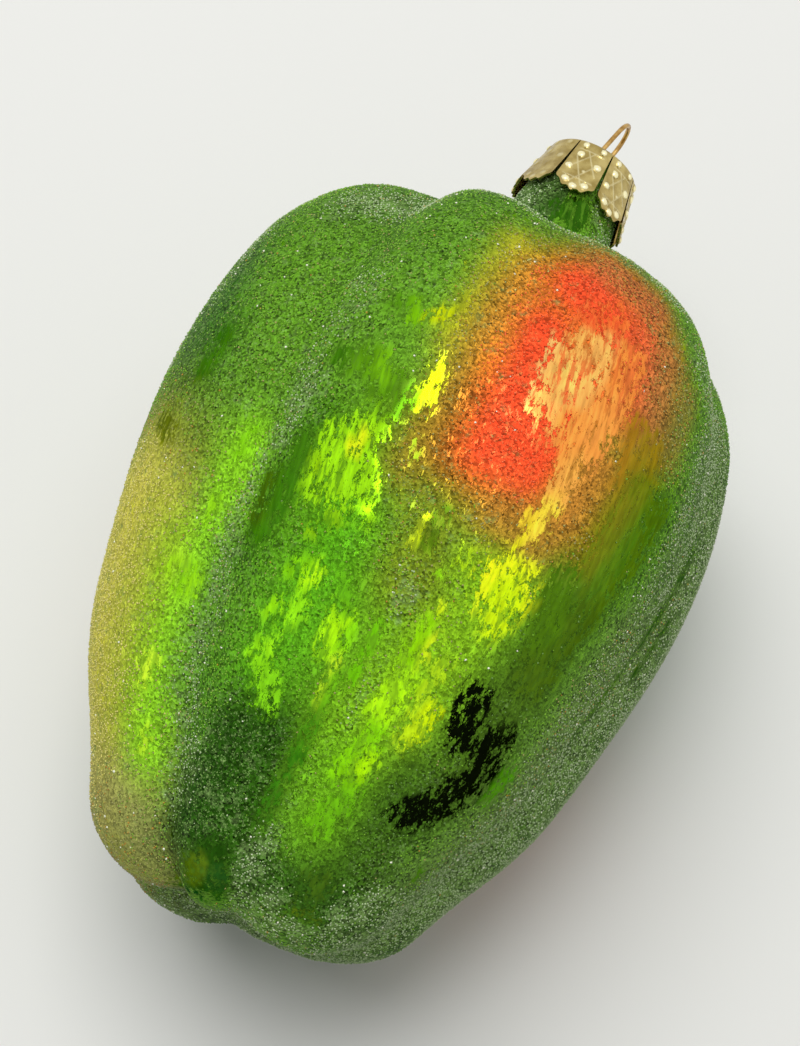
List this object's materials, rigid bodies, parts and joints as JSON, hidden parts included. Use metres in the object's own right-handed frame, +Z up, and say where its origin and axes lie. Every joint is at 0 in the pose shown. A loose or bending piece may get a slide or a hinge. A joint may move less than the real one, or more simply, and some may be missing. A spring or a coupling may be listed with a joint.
{
  "type": "glass pepper ornament",
  "caption": "Hollow glass bell pepper ornament lying on its side, with a gold crown cap that pulls off its neck and a wire eye to hang it by.",
  "frame": {"origin": "middle of the bounding box at its bottom, on the surface that the ornament lies on", "axes": "+Y along the neck towards the hanger, +Z up from the surface, +X across"},
  "size_m": [0.0664, 0.1114, 0.0645],
  "materials": {
    "lacquered_glass": "silvered inside, green, red and tan transparent lacquer outside, frosted with fine clear grains",
    "gold_cap": "gold-coloured stamped sheet with pressed beads and ribs",
    "gold_wire": "bright drawn wire"
  },
  "bodies": {
    "pepper": {"glass_body": "lacquered_glass"},
    "cap": {"crown_cap": "gold_cap"},
    "hanger": {"hanger_wire": "gold_wire"}
  },
  "joints": [
    {"name": "cap_pull", "type": "slide", "parent": "pepper", "child": "cap", "axis": [0, 1, 0], "range_m": [0, 0.015]},
    {"name": "hanger_tilt", "type": "hinge", "parent": "cap", "child": "hanger", "pos_m": [-0.00241, 0.0482, 0.03189], "axis": [0, 0, 1], "range_deg": [-3, 25]}
  ]
}
